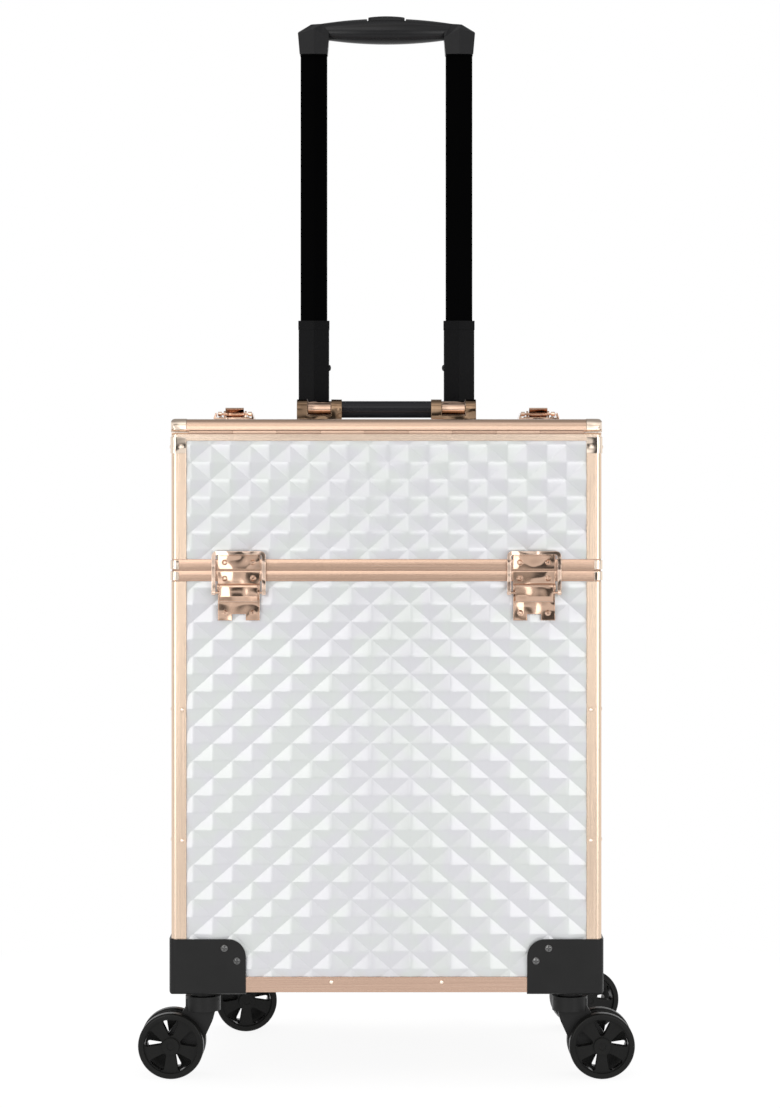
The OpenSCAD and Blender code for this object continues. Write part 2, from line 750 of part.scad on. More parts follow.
// Cap that closes an outer corner of a lid, rounded like the rails that meet there
module lid_corner() {
    s = cap_s + cap_proud - gap;
    h = lid_h + cap_proud;
    intersection() {
        linear_extrude(h) corner_square(s, corner_r + cap_proud);
        rotate([90, 0, 90]) linear_extrude(s) nosed(s, h, nose_r + cap_proud);
        translate([0, s, 0]) rotate([90, 0, 0]) linear_extrude(s) nosed(s, h, side_r + cap_proud);
    }
}

module lid_corners() gold() difference() {
    for (s = [0, 1]) mirror([s, 0, 0])
        translate([-half_w - cap_proud, -half_d - cap_proud, z_lid]) lid_corner();
    hinge_relief(relief_r + 0.45);
}

module front_lid_board() lid_board();
module front_lid_skin() lid_skin();
module front_lid_frame() lid_frame();
module front_lid_corners() lid_corners();
module rear_lid_board() rotate([0, 0, 180]) lid_board();
module rear_lid_skin() rotate([0, 0, 180]) lid_skin();
module rear_lid_frame() rotate([0, 0, 180]) lid_frame();
module rear_lid_corners() rotate([0, 0, 180]) lid_corners();

// Draw latches: x across, -y away from the face, z from the lever toward the keeper

module latch_base(half, skirt = 0) gold() {
    wide = max(half, skirt);
    head = min(2.2, half * 0.22);
    difference() {
        translate([-wide, -plate_t, -1 - latch_len]) cube([2 * wide, plate_t, latch_len]);
        translate([-wide / 3, -5, -2 - latch_len]) cube([2 * wide / 3, 10, 6]);
    }
    for (s = [-1, 1]) translate([s * (half - 0.35), 0, 0]) {
        translate([-0.75, -pivot_out, -pivot_down - 2.6]) cube([1.5, pivot_out, 5.2]);
        translate([0, -pivot_out, -pivot_down]) rotate([0, 90, 0]) cylinder(r = 2.6, h = 1.5, center = true);
    }
    translate([0, -pivot_out, -pivot_down]) rotate([0, 90, 0])
        cylinder(r = 1.2, h = 2 * half - 1, center = true);
    for (s = [-1, 1]) {
        translate([s * half * 0.68, -plate_t, -6.3]) eyelet(head, 1.1);
        translate([s * wide * 0.66, -plate_t, -latch_len + 5]) eyelet(head, 1.1);
    }
}

// Sloping cheeks that guard the loop of a lid latch at both sides
module latch_skirts(half, skirt) gold() {
    inner = half + 1.8 + loop_t + 0.6;
    for (s = [0, 1]) mirror([s, 0, 0]) translate([0, 0, -1 - latch_len]) linear_extrude(latch_len - 8)
        polygon([[inner, -1], [skirt, -1], [skirt, -plate_t], [(inner + skirt) / 2, -pivot_out + 0.4],
                 [inner + 0.6, -pivot_out - 0.9], [inner, -pivot_out - 0.9]]);
}

module latch_keeper(half) gold() {
    translate([-half, -plate_t, 1]) cube([2 * half, plate_t, 13]);
    translate([-half + 2, bar_gap - pivot_out + 1, 11.6]) cube([2 * half - 4, pivot_out - 1 - bar_gap, 2.4]);
    for (s = [-1, 1]) translate([s * half * 0.68, -plate_t, 6.3]) eyelet(min(2.2, half * 0.22), 1.1);
}

// Lever in the closed position
module latch_lever(half) gold() {
    side = half - 1.5;
    difference() {
        union() {
            rotate([90, 0, 90]) linear_extrude(2 * side, center = true) {
                translate([-pivot_out, -pivot_down]) circle(2.6);
                polygon([[-pivot_out - 2.6, -pivot_down], [-pivot_out - 0.8, -pivot_down],
                         [-pivot_out - 1, -pivot_down - 8.4], [-pivot_out - 4, -pivot_down - 11.9],
                         [-pivot_out - 5.1, -pivot_down - 10.9], [-pivot_out - 2.6, -pivot_down - 7.4]]);
            }
            for (s = [-1, 1]) translate([s * (side - 0.8), 0, 0]) rotate([90, 0, 90])
                linear_extrude(1.6, center = true) {
                    translate([-pivot_out - 2.2, -pivot_down - loop_arm]) square([4, loop_arm]);
                    translate([-pivot_out, -pivot_down - loop_arm]) circle(1.9);
                }
            for (s = [-1, 1]) translate([s * (side - 1), -pivot_out, -pivot_down - loop_arm])
                rotate([0, s * 90, 0]) cylinder(r = 0.9, h = 1 + half - side + 1.8 + loop_t + 0.2);
        }
        translate([0, -pivot_out, -pivot_down]) rotate([0, 90, 0])
            cylinder(r = 1.2 + play, h = 4 * half, center = true);
    }
}

// Loop in the closed position
module latch_loop(half) gold() difference() {
    outer = half + 1.8 + loop_t;
    low = -pivot_down - loop_arm;
    union() {
        translate([0, -pivot_out + 1, 0]) rotate([90, 0, 0]) linear_extrude(2) difference() {
            translate([0, 15.3 - 20]) rounded_rect(2 * outer, 40, 4);
            translate([0, 12.5 - 20]) rounded_rect(2 * (half + 1.8), 40, 2);
            translate([-outer - 1, low - 40]) square([2 * outer + 2, 40]);
        }
        for (s = [-1, 1]) translate([s * (outer - loop_t / 2), -pivot_out, low])
            rotate([0, 90, 0]) cylinder(r = 1.9, h = loop_t, center = true);
    }
    translate([0, -pivot_out, low]) rotate([0, 90, 0]) cylinder(r = 0.9 + play, h = 4 * outer, center = true);
}

module at_front(s) translate([s * latch_x, -half_d, z_split + seam / 2]) children();
module at_rear(s) rotate([0, 0, 180]) at_front(-s) children();
module at_top(s) translate([s * top_latch_x, 0, z_top]) rotate([-90, 0, 0]) children();

module latch_bases() for (s = [-1, 1]) {
    at_front(s) latch_base(latch_half);
    at_rear(s) latch_base(latch_half);
}
module latch_keepers() for (s = [-1, 1]) {
    at_front(s) latch_keeper(latch_half);
    at_rear(s) latch_keeper(latch_half);
}
module top_latch_bases() for (s = [-1, 1]) at_top(s) {
    latch_base(top_latch_half, top_latch_skirt);
    latch_skirts(top_latch_half, top_latch_skirt);
}
module top_latch_keepers() for (s = [-1, 1]) at_top(s) latch_keeper(top_latch_half);
module front_left_lever() at_front(-1) latch_lever(latch_half);
module front_left_loop() at_front(-1) latch_loop(latch_half);
module front_right_lever() at_front(1) latch_lever(latch_half);
module front_right_loop() at_front(1) latch_loop(latch_half);
module rear_left_lever() at_rear(-1) latch_lever(latch_half);
module rear_left_loop() at_rear(-1) latch_loop(latch_half);
module rear_right_lever() at_rear(1) latch_lever(latch_half);
module rear_right_loop() at_rear(1) latch_loop(latch_half);
module top_left_lever() at_top(-1) latch_lever(top_latch_half);
module top_left_loop() at_top(-1) latch_loop(top_latch_half);
module top_right_lever() at_top(1) latch_lever(top_latch_half);
module top_right_loop() at_top(1) latch_loop(top_latch_half);

// Carry handle on the rear lid

module on_mounts() for (s = [-1, 1]) translate([s * mount_x, mount_pin_y, mount_pin_z]) children();

module carry_mounts() gold() on_mounts() {
    lobe = (mount_w - link_w - 1) / 2;
    for (s = [-1, 1]) translate([s * (mount_w - lobe) / 2, 0, 0]) rotate([90, 0, 90])
        linear_extrude(lobe, center = true) {
            circle(mount_r);
            translate([-mount_r, z_top - mount_pin_z]) square([2 * mount_r, mount_pin_z - z_top]);
        }
    translate([-mount_w / 2, -mount_r, z_top - mount_pin_z]) cube([mount_w, 2 * mount_r, mount_base]);
    rotate([0, 90, 0]) cylinder(r = mount_pin_r, h = mount_w - 2, center = true);
}

module bar_section() rounded_rect(bar_d, bar_h, 6);

module at_bar() translate([0, mount_pin_y + bar_back, z_top + 1.6 + bar_h / 2])
    rotate([90, 0, 90]) children();

module carry_grip() black() at_bar() linear_extrude(2 * mount_x - bar_end, center = true) bar_section();

module carry_ends() gold() difference() {
    union() {
        for (s = [-1, 1]) at_bar() translate([0, 0, s * mount_x])
            linear_extrude(bar_end - 2 * gap, center = true) bar_section();
        on_mounts() rotate([90, 0, 90]) linear_extrude(link_w, center = true) {
            circle(link_r);
            polygon([[0, link_r], [0, -link_r], [bar_back - 2, -5], [bar_back - 2, 4]]);
        }
    }
    on_mounts() rotate([0, 90, 0]) cylinder(r = mount_pin_r + play, h = mount_w, center = true);
}

module in_frame() translate([0, case_y, 0]) children();

in_frame() lower_walls();
in_frame() lower_skins();
in_frame() lower_bottom_rails();
in_frame() lower_posts();
in_frame() lower_rim_rails();
in_frame() lower_rivets();
in_frame() caster_brackets();
in_frame() bracket_screws();
in_frame() caster_stems();
in_frame() handle_outer_tubes();
in_frame() handle_rear_mounts();
in_frame() latch_bases();
in_frame() upper_walls();
in_frame() upper_skins();
in_frame() upper_base_rails();
in_frame() upper_posts();
in_frame() upper_rim_rails();
in_frame() upper_clips();
in_frame() dividers();
in_frame() latch_keepers();
in_frame() lid_hinge_leaves();
in_frame() lid_hinge_pins();
in_frame() front_lid_board();
in_frame() front_lid_skin();
in_frame() front_lid_frame();
in_frame() front_lid_corners();
in_frame() top_latch_bases();
in_frame() rear_lid_board();
in_frame() rear_lid_skin();
in_frame() rear_lid_frame();
in_frame() rear_lid_corners();
in_frame() top_latch_keepers();
in_frame() carry_mounts();
in_frame() carry_grip();
in_frame() carry_ends();
in_frame() front_left_lever();
in_frame() front_left_loop();
in_frame() front_right_lever();
in_frame() front_right_loop();
in_frame() rear_left_lever();
in_frame() rear_left_loop();
in_frame() rear_right_lever();
in_frame() rear_right_loop();
in_frame() top_left_lever();
in_frame() top_left_loop();
in_frame() top_right_lever();
in_frame() top_right_loop();
in_frame() handle_mid_tubes();
in_frame() handle_inner_tubes();
in_frame() handle_grip();
in_frame() handle_button();
in_frame() fork_front_left();
in_frame() fork_front_right();
in_frame() fork_rear_left();
in_frame() fork_rear_right();
in_frame() wheels_front_left();
in_frame() wheels_front_right();
in_frame() wheels_rear_left();
in_frame() wheels_rear_right();
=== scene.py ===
import bpy
import numpy as np
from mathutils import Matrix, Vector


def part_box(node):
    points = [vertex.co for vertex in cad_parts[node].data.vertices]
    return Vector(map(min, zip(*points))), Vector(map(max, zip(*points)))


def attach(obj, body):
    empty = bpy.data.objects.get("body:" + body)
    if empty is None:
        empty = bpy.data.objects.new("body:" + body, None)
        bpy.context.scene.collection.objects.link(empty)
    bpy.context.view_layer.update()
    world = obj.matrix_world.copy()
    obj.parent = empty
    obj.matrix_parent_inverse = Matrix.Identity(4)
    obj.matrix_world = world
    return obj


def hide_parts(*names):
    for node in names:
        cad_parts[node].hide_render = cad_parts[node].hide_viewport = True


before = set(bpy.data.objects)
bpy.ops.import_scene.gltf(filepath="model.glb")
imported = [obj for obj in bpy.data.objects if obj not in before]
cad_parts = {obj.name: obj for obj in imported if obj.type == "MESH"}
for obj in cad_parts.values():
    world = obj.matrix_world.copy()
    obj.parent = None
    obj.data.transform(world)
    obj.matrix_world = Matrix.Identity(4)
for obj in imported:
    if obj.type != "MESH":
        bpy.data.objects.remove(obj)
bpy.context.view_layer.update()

# Camera: it stands level in front of the latches, a little below the lid, with a long lens.
# The picture is shifted down instead of tilted, so the uprights stay parallel.
FACE_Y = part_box("lower_rim_rails")[0][1]
CAMERA_BACK, CAMERA_UP = 2.6, 0.514
photo_camera = bpy.data.cameras.new("photo_camera")
photo_camera.lens = 107.0
photo_camera.shift_x = 0.0032
photo_camera.shift_y = -0.112
camera = bpy.data.objects.new("photo_camera", photo_camera)
camera.location = (0.0, FACE_Y - CAMERA_BACK, CAMERA_UP)
camera.rotation_euler = (np.pi / 2, 0.0, 0.0)
bpy.context.scene.collection.objects.link(camera)
bpy.context.scene.camera = camera
bpy.context.scene.view_settings.view_transform = 'Standard'


# Studio: a pale seamless floor and a plain pale room. The side that the camera looks at is white and
# a bright panel hangs above the camera. The floor toward the camera, the rear of the ceiling and a nook
# behind the camera are darker in mirrored light, which gives the metal something to show.
def add_mesh(name, points, faces, smooth=True):
    """A mesh object at the origin from an array of points and the corner indices of its faces, as an
    array or as lists; smooth is one flag or one for each face."""
    mesh = bpy.data.meshes.new(name)
    mesh.from_pydata(points.tolist(), [], faces.tolist() if hasattr(faces, "tolist") else faces)
    mesh.polygons.foreach_set("use_smooth", np.broadcast_to(smooth, len(mesh.polygons)).copy())
    mesh.update()
    piece = bpy.data.objects.new(name, mesh)
    bpy.context.scene.collection.objects.link(piece)
    return piece


def node_tools(tree):
    """Empties a node tree; returns two short ways to add a node and to link two nodes. Sockets are
    set by name, with _ for a space, or by number."""
    tree.nodes.clear()

    def add(kind, operation=None, numbered=None, **named):
        node = tree.nodes.new("ShaderNode" + kind)
        if operation:
            node.operation = operation
        for number, value in (numbered or {}).items():
            node.inputs[number].default_value = value
        for key, value in named.items():
            node.inputs[key.replace("_", " ")].default_value = value
        return node

    def join(out_node, out_name, in_node, in_name):
        tree.links.new(out_node.outputs[out_name], in_node.inputs[in_name])

    return add, join


def start_material(name):
    """An empty node material and its two node tools."""
    material = bpy.data.materials.new(name)
    material.use_nodes = True
    return material, *node_tools(material.node_tree)


def two_tones(add, dark, pale, low=0.0, high=1.0):
    """A colour ramp from a dark tone at low to a pale one at high."""
    ramp = add("ValToRGB")
    first, last = ramp.color_ramp.elements[0], ramp.color_ramp.elements[1]
    first.position, first.color = low, (*dark, 1)
    last.position, last.color = high, (*pale, 1)
    return ramp


def soft_range(add, **limits):
    """A MapRange node with soft ends."""
    node = add("MapRange", **limits)
    node.interpolation_type = 'SMOOTHSTEP'
    return node


FLOOR_HALF = 9.0
floor = add_mesh("floor", FLOOR_HALF * np.array([[-1, -1, 0], [1, -1, 0], [1, 1, 0], [-1, 1, 0]]),
                 np.array([[0, 1, 2, 3]]))
paper, add, join = start_material("white_paper")
spot = add("TexCoord")
reach = add("VectorMath", 'LENGTH')
fade = add("MapRange", From_Min=0.35, From_Max=0.62)
sight = add("LightPath")
looked_at = add("Math", 'MAXIMUM')
seen = add("Math", 'MAXIMUM')
far = add("Math", 'MULTIPLY')
near_glow = add("Math", 'MULTIPLY_ADD', {1: 0.46, 2: 0.44})
matt = add("BsdfDiffuse", Color=(0.16, 0.16, 0.16, 1))
glow = add("Emission", Color=(1, 1, 1, 1))
white = add("Emission", Color=(1, 1, 1, 1))
near = add("AddShader")
paper_mix = add("MixShader")
floor_axes = add("SeparateXYZ")
ahead_dim = add("MapRange", From_Min=-5.0, From_Max=-1.2, To_Min=0.0, To_Max=-0.50)
paper_edge = add("MapRange", From_Min=-1.12, From_Max=-0.92, To_Min=-0.6, To_Max=0.0)
dimmer = add("Math", 'MAXIMUM')
mirrored_white = add("Math", 'MULTIPLY_ADD', {2: 1.0})
join(spot, "Object", reach, 0)
join(reach, "Value", fade, "Value")
join(sight, "Is Camera Ray", looked_at, 0)
join(sight, "Is Glossy Ray", looked_at, 1)
join(looked_at, "Value", seen, 0)
join(sight, "Is Transmission Ray", seen, 1)
join(seen, "Value", far, 0)
join(fade, "Result", far, 1)
join(seen, "Value", near_glow, 0)
join(near_glow, "Value", glow, "Strength")
join(spot, "Object", floor_axes, 0)
join(floor_axes, "Y", ahead_dim, "Value")
join(floor_axes, "Y", paper_edge, "Value")
join(ahead_dim, "Result", dimmer, 0)
join(paper_edge, "Result", dimmer, 1)
join(sight, "Is Glossy Ray", mirrored_white, 0)
join(dimmer, "Value", mirrored_white, 1)
join(mirrored_white, "Value", white, "Strength")
join(matt, "BSDF", near, 0)
join(glow, "Emission", near, 1)
join(far, "Value", paper_mix, 0)
join(near, "Shader", paper_mix, 1)
join(white, "Emission", paper_mix, 2)
join(paper_mix, "Shader", add("OutputMaterial"), "Surface")
floor.data.materials.append(paper)

room = bpy.data.worlds.new("pale_room")
room.use_nodes = True
bpy.context.scene.world = room
room_node, room_join = node_tools(room.node_tree)
heading = room_node("TexCoord")
axes = room_node("SeparateXYZ")
behind = room_node("MapRange", From_Min=-0.55, From_Max=0.1)
patches = room_node("TexNoise", Scale=3.4, Detail=1.0)
dim = two_tones(room_node, (0.40, 0.38, 0.36), (1.0, 1.0, 1.0), 0.36, 0.56)
wall = room_node("Mix")
wall.data_type = 'RGBA'
wall.inputs["B"].default_value = (1, 1, 1, 1)
toward = room_node("VectorMath", 'DOT_PRODUCT', {1: (0.0, -0.99813, -0.06105)})
nook = soft_range(room_node, From_Min=0.9816, From_Max=0.9954, To_Min=1.0, To_Max=0.10)
upward = room_node("VectorMath", 'DOT_PRODUCT', {1: (0.0, -0.809, 0.588)})
glare = soft_range(room_node, From_Min=0.82, From_Max=0.94)
leftward = room_node("MapRange", From_Min=-0.07, From_Max=0.08, To_Min=1.9, To_Max=0.0)
panel = room_node("Math", 'MULTIPLY_ADD', {2: 1.0})
high = soft_range(room_node, From_Min=0.20, From_Max=0.45)
rearward = soft_range(room_node, From_Min=-0.35, From_Max=0.15, To_Min=0.0, To_Max=-0.62)
ceiling = room_node("Math", 'MULTIPLY_ADD', {2: 1.0})
overhead = room_node("Math", 'MULTIPLY')
shade = room_node("Math", 'MULTIPLY')
room_sight = room_node("LightPath")
shown = room_node("Math", 'MAXIMUM')
seen_room = room_node("Background")
room_light = room_node("Background", Color=(1, 1, 1, 1), Strength=0.67)
room_mix = room_node("MixShader")
backdrop = room_node("Background", Color=(1, 1, 1, 1), Strength=1.0)
room_seen = room_node("MixShader")
room_join(heading, "Generated", axes, 0)
room_join(axes, "Y", behind, "Value")
room_join(heading, "Generated", patches, "Vector")
room_join(patches, "Fac", dim, "Fac")
room_join(behind, "Result", wall, "Factor")
room_join(dim, "Color", wall, 6)
room_join(room_sight, "Is Glossy Ray", shown, 0)
room_join(room_sight, "Is Transmission Ray", shown, 1)
room_join(heading, "Generated", toward, 0)
room_join(toward, "Value", nook, "Value")
room_join(axes, "Z", high, "Value")
room_join(axes, "Y", rearward, "Value")
room_join(high, "Result", ceiling, 0)
room_join(rearward, "Result", ceiling, 1)
room_join(heading, "Generated", upward, 0)
room_join(upward, "Value", glare, "Value")
room_join(axes, "X", leftward, "Value")
room_join(glare, "Result", panel, 0)
room_join(leftward, "Result", panel, 1)
room_join(panel, "Value", overhead, 0)
room_join(ceiling, "Value", overhead, 1)
room_join(nook, "Result", shade, 0)
room_join(overhead, "Value", shade, 1)
room_join(wall, 2, seen_room, "Color")
room_join(shade, 0, seen_room, "Strength")
room_join(shown, 0, room_mix, 0)
room_join(room_light, 0, room_mix, 1)
room_join(seen_room, 0, room_mix, 2)
room_join(room_sight, "Is Camera Ray", room_seen, 0)
room_join(room_mix, 0, room_seen, 1)
room_join(backdrop, 0, room_seen, 2)
room_join(room_seen, 0, room_node("OutputWorld"), "Surface")


def softbox(name, place, aim, size, watts, mirrored=True):
    """A soft rectangular lamp at place whose face looks at aim; a fill isn't mirrored in the metal."""
    lamp = bpy.data.lights.new(name, 'AREA')
    lamp.shape = 'RECTANGLE'
    lamp.size, lamp.size_y = size
    lamp.energy = watts
    box = bpy.data.objects.new(name, lamp)
    ahead = np.subtract(aim, place)
    yaw = np.arctan2(ahead[1], ahead[0]) - np.pi / 2
    tilt = np.arctan2(np.hypot(ahead[0], ahead[1]), -ahead[2])
    box.location = place
    box.rotation_euler = (tilt, 0.0, yaw)
    box.visible_camera, box.visible_glossy = False, mirrored
    bpy.context.scene.collection.objects.link(box)


for side, x in (("left", -0.80), ("right", 0.80)):
    softbox(side + "_softbox", (x, -1.45, 0.37), (0, -0.1, 0.37), (0.88, 0.80), 5.0)
for side, place in (("left", (-1.57, 0.32, 0.45)), ("right", (1.57, 0.32, 0.45)),
                    ("rear", (0.0, 1.62, 0.45)), ("top", (0.0, 0.30, 1.95))):
    softbox(side + "_fill", place, (0.0, 0.0, 0.40), (0.8, 0.8), 4.6, mirrored=False)


# Boards of the lower bin, the upper case and both lid halves, with the dividers: thin fibreboard
# wrapped in black lining cloth, held in the webs of the frame rails.
def dress(material, *names, sharp=32):
    """Gives CAD nodes their finish, with curved faces shaded smooth and edges kept sharp: corners are
    welded, then split again wherever two faces meet at more than the given degrees. Normals lean on
    the larger faces, so that flats stay flat up to the rounded corners."""
    for node in names:
        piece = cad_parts[node]
        piece.data.polygons.foreach_set("use_smooth", np.full(len(piece.data.polygons), True))
        weld = piece.modifiers.new("weld", 'WELD')
        weld.merge_threshold = 2e-6
        parted = piece.modifiers.new("edges", 'EDGE_SPLIT')
        parted.split_angle = np.radians(sharp)
        flats = piece.modifiers.new("flats", 'WEIGHTED_NORMAL')
        flats.weight = 100
        piece.data.materials.clear()
        piece.data.materials.append(material)


lining, add, join = start_material("black_lining_cloth")
spot = add("TexCoord")
threads = add("TexWave", Scale=520.0, Distortion=0.6, Detail=1.0)
threads.bands_direction = 'DIAGONAL'
tufts = add("TexNoise", Scale=900.0, Detail=3.0)
cloth = two_tones(add, (0.012, 0.012, 0.014), (0.045, 0.045, 0.050))
weave = add("Bump", Strength=0.35, Distance=0.0004)
nap = add("BsdfPrincipled", Roughness=0.86, Specular_IOR_Level=0.25, Sheen_Weight=0.25)
join(spot, "Object", threads, "Vector")
join(spot, "Object", tufts, "Vector")
join(tufts, "Fac", cloth, "Fac")
join(threads, "Fac", weave, "Height")
join(cloth, "Color", nap, "Base Color")
join(weave, "Normal", nap, "Normal")
join(nap, "BSDF", add("OutputMaterial"), "Surface")
dress(lining, "lower_walls", "upper_walls", "front_lid_board", "rear_lid_board", "dividers")


# Embossed skins: pearl white sheet pressed into flat diamonds, each with four facets that meet in a
# low peak. The sheets lie on the boards and their edges run up to the frame flanges.
CELL_W, CELL_H = 0.01560, 0.01374
RELIEF, VALLEY = 0.0020, 0.0010
RIDGE = 0.045
CREASE_ANGLE = 12
SHEET_INSET = 0.0119
EDGE_ROOM = 2e-4
CELL_STEPS = np.array([0.0, 0.06, 0.18, 0.5, 0.82, 0.94])


def emboss_lines(half, cell, start):
    """Grid lines across a sheet from -half to half: six per emboss cell, close to the ridges."""
    first, last = int(np.floor((-half - start) / cell)), int(np.ceil((half - start) / cell))
    lines = (start + cell * (np.arange(first, last + 1)[:, None] + CELL_STEPS)).ravel()
    lines = lines[(lines > -half + EDGE_ROOM) & (lines < half - EDGE_ROOM)]
    return np.concatenate([[-half], lines, [half]])


def emboss_height(a, b):
    """Height of the pressed diamonds, 0 to 1: with a and b in cells from an apex, the distance from
    the nearest apex is max(P, Q), where P and Q fold a + b and a - b to 0..1 about even numbers.
    A soft absolute value rounds the ridges a little."""
    q, p = np.abs((a - b + 1) % 2 - 1), np.abs((a + b + 1) % 2 - 1)
    u, v = (q + p) / 2, np.abs(q - p) / 2
    rounded = np.sqrt(u * u + RIDGE ** 2) + np.sqrt(v * v + RIDGE ** 2) - 2 * RIDGE
    return np.clip(1 - rounded / (1 - RIDGE), 0, 1)


def emboss_sheet(width, height, start):
    """One closed sheet: a grid of pressed diamonds in front, a flat back and a plain rim.
    Returns points as (across, up, out) and its triangles; out is 0 on the back."""
    xs = emboss_lines(width / 2, CELL_W, start[0])
    zs = emboss_lines(height / 2, CELL_H, start[1])
    x, z = np.meshgrid(xs, zs)
    a, b = (x - start[0]) / CELL_W, (z - start[1]) / CELL_H
    front = np.stack([x, z, VALLEY + RELIEF * emboss_height(a, b)], -1).reshape(-1, 3)
    nx, nz = len(xs), len(zs)
    index = np.arange(nx * nz).reshape(nz, nx)
    c00, c10 = index[:-1, :-1].ravel(), index[:-1, 1:].ravel()
    c01, c11 = index[1:, :-1].ravel(), index[1:, 1:].ravel()
    mid_a = (xs[:-1] + xs[1:])[None, :] / 2 / CELL_W - start[0] / CELL_W
    mid_b = (zs[:-1] + zs[1:])[:, None] / 2 / CELL_H - start[1] / CELL_H
    rising = ((np.floor(mid_a) + np.floor(mid_b)) % 2 == 1).ravel()
    one = np.where(rising[:, None], np.stack([c00, c10, c11], 1), np.stack([c00, c10, c01], 1))
    two = np.where(rising[:, None], np.stack([c00, c11, c01], 1), np.stack([c10, c11, c01], 1))
    ring = np.concatenate([index[0, :-1], index[:-1, -1], index[-1, :0:-1], index[:0:-1, 0]])
    back = front[ring] * [1, 1, 0]
    low = nx * nz + np.arange(len(ring))
    after, low_after = np.roll(ring, -1), np.roll(low, -1)
    rim = np.concatenate([np.stack([ring, low_after, after], 1),
                          np.stack([ring, low, low_after], 1)])
    centre = nx * nz + len(ring)
    cap = np.stack([low_after, low, np.full(len(low), centre)], 1)
    points = np.concatenate([front, back, [[0, 0, 0]]])
    return points, np.concatenate([one, two, rim, cap])


def skin_piece(name, sheets):
    """Joins placed sheets into one object; each sheet is (points, triangles)."""
    offsets = np.cumsum([0] + [len(p) for p, _ in sheets[:-1]])
    piece = add_mesh(name, np.concatenate([p for p, _ in sheets]),
                     np.concatenate([f + o for (_, f), o in zip(sheets, offsets)]))
    creases = piece.modifiers.new("valleys", 'EDGE_SPLIT')
    creases.split_angle = np.radians(CREASE_ANGLE)
    piece.data.materials.append(pearl)
    return piece


def wall_sheets(node, start):
    """Four wall sheets around the box of a skin node, the front one first."""
    low, high = (np.array(c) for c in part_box(node))
    middle = (low + high) / 2
    placed = []
    for turn in range(4):
        span, reach = (high - low)[turn % 2], (high - low)[1 - turn % 2]
        points, faces = emboss_sheet(span - 2 * SHEET_INSET, (high - low)[2], start)
        c, s = np.cos(turn * np.pi / 2), np.sin(turn * np.pi / 2)
        across, up, out = points.T
        y = -reach / 2 + RELIEF + VALLEY - out
        placed.append((np.stack([c * across - s * y, s * across + c * y, up], 1) + middle, faces))
    return placed


pearl, add, join = start_material("pearl_white_sheet")
spot = add("TexCoord")
flow = add("TexNoise", Scale=55.0, Detail=1.0)
tint = two_tones(add, (0.738, 0.738, 0.772), (0.732, 0.762, 0.746), 0.36, 0.64)
tint.color_ramp.elements.new(0.5).color = (0.735, 0.750, 0.760, 1)
grain = add("TexNoise", Scale=2200.0, Detail=2.0)
pressed = add("Bump", Strength=0.05, Distance=0.0002)
sheet = add("BsdfPrincipled", Roughness=0.16, Specular_IOR_Level=1.0, Coat_Weight=0.6,
            Coat_Roughness=0.12)
join(spot, "Object", flow, "Vector")
join(flow, "Fac", tint, "Fac")
join(tint, "Color", sheet, "Base Color")
join(spot, "Object", grain, "Vector")
join(grain, "Fac", pressed, "Height")
join(pressed, "Normal", sheet, "Normal")
join(sheet, "BSDF", add("OutputMaterial"), "Surface")

for node, body, apex in (("lower_skins", "lower_case", (0.0032, 0.2941)),
                         ("upper_skins", "upper_case", (0.0016, 0.4744))):
    low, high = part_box(node)
    start = apex[0], apex[1] - (low[2] + high[2]) / 2
    piece = skin_piece(node + "_pressed", wall_sheets(node, start))
    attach(piece, body)
    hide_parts(node)
for node, body in (("front_lid_skin", "front_lid"), ("rear_lid_skin", "rear_lid")):
    low, high = (np.array(c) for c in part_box(node))
    points, faces = emboss_sheet(high[0] - low[0], high[1] - low[1], (0.0, 0.0))
    points = points + [(low[0] + high[0]) / 2, (low[1] + high[1]) / 2, low[2]]
    piece = skin_piece(node + "_pressed", [(points, faces)])
    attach(piece, body)
    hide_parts(node)


# Frame: rose-gold anodised aluminium extrusions, brushed along their length. Rails run round the
# bottom, the split and the lid; posts stand in the corners. The lid's piano hinges are finished alike.
def brushed_gold(name, stretch, dark, pale):
    """Satin rose-gold metal with fine drawn lines between two tones; stretch is how fast the lines
    change along x, y and z."""
    material, add, join = start_material(name)
    spot = add("TexCoord")
    along = add("Mapping", Scale=stretch)
    lines = add("TexNoise", Scale=1.0, Detail=4.0, Roughness=0.6)
    tone = two_tones(add, dark, pale, 0.3, 0.7)
    rough = add("MapRange", To_Min=0.22, To_Max=0.30)
    eased = add("Bevel", Radius=0.0005)
    drawn = add("Bump", Strength=0.25, Distance=0.0002)
    metal = add("BsdfPrincipled", Metallic=1.0)
    join(spot, "Object", along, "Vector")
    join(along, "Vector", lines, "Vector")
    join(lines, "Fac", tone, "Fac")
    join(lines, "Fac", rough, "Value")
    join(lines, "Fac", drawn, "Height")
    join(eased, "Normal", drawn, "Normal")
    join(tone, "Color", metal, "Base Color")
    join(rough, "Result", metal, "Roughness")
    join(drawn, "Normal", metal, "Normal")
    join(metal, "BSDF", add("OutputMaterial"), "Surface")
    return material


